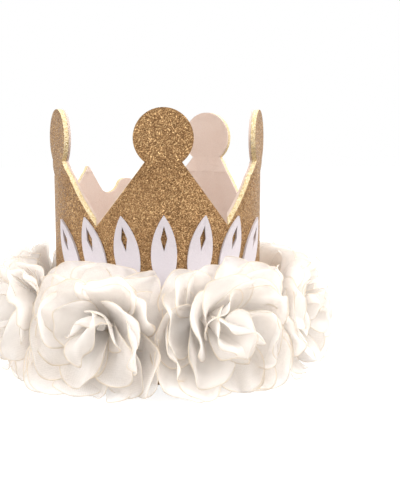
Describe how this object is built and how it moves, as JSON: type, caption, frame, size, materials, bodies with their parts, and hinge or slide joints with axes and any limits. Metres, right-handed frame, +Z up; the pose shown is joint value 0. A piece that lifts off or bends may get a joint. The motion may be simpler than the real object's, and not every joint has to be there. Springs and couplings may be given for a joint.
{
  "type": "party crown with flower trim",
  "caption": "Child's party crown: a ring of gold glitter sheet with ball-topped peaks and a felt lining, a white leaf spray, and a trim of gathered chiffon flowers.",
  "frame": {"origin": "on the crown's axis, in the plane of the band's lower edge", "axes": "+Z up along the crown's axis; -Y through the middle front peak; +X to the wearer's left, which is right in the picture"},
  "size_m": [0.1846, 0.1848, 0.1395],
  "materials": {
    "gold_glitter": "dense gold glitter on foam-backed sheet",
    "blush_felt": "soft felt",
    "white_felt": "smooth white felt",
    "ivory_chiffon": "sheer chiffon with fine raw edges"
  },
  "bodies": {
    "root": {"glitter_crown": "gold_glitter", "felt_lining": "blush_felt", "leaf_spray": "white_felt", "flower_1_backing": "white_felt", "flower_1_gathers": "ivory_chiffon", "flower_1_outer_petals": "ivory_chiffon", "flower_1_back_petals": "ivory_chiffon", "flower_1_front_petals": "ivory_chiffon", "flower_1_inner_petals": "ivory_chiffon", "flower_2_backing": "white_felt", "flower_2_gathers": "ivory_chiffon", "flower_2_outer_petals": "ivory_chiffon", "flower_2_back_petals": "ivory_chiffon", "flower_2_front_petals": "ivory_chiffon", "flower_2_inner_petals": "ivory_chiffon", "flower_3_backing": "white_felt", "flower_3_gathers": "ivory_chiffon", "flower_3_outer_petals": "ivory_chiffon", "flower_3_back_petals": "ivory_chiffon", "flower_3_front_petals": "ivory_chiffon", "flower_3_inner_petals": "ivory_chiffon", "flower_4_backing": "white_felt", "flower_4_gathers": "ivory_chiffon", "flower_4_outer_petals": "ivory_chiffon", "flower_4_back_petals": "ivory_chiffon", "flower_4_front_petals": "ivory_chiffon", "flower_4_inner_petals": "ivory_chiffon", "flower_5_backing": "white_felt", "flower_5_gathers": "ivory_chiffon", "flower_5_outer_petals": "ivory_chiffon", "flower_5_back_petals": "ivory_chiffon", "flower_5_front_petals": "ivory_chiffon", "flower_5_inner_petals": "ivory_chiffon", "flower_6_backing": "white_felt", "flower_6_gathers": "ivory_chiffon", "flower_6_outer_petals": "ivory_chiffon", "flower_6_back_petals": "ivory_chiffon", "flower_6_front_petals": "ivory_chiffon", "flower_6_inner_petals": "ivory_chiffon", "flower_7_backing": "white_felt", "flower_7_gathers": "ivory_chiffon", "flower_7_outer_petals": "ivory_chiffon", "flower_7_back_petals": "ivory_chiffon", "flower_7_front_petals": "ivory_chiffon", "flower_7_inner_petals": "ivory_chiffon", "flower_8_backing": "white_felt", "flower_8_gathers": "ivory_chiffon", "flower_8_outer_petals": "ivory_chiffon", "flower_8_back_petals": "ivory_chiffon", "flower_8_front_petals": "ivory_chiffon", "flower_8_inner_petals": "ivory_chiffon"}
  },
  "joints": []
}
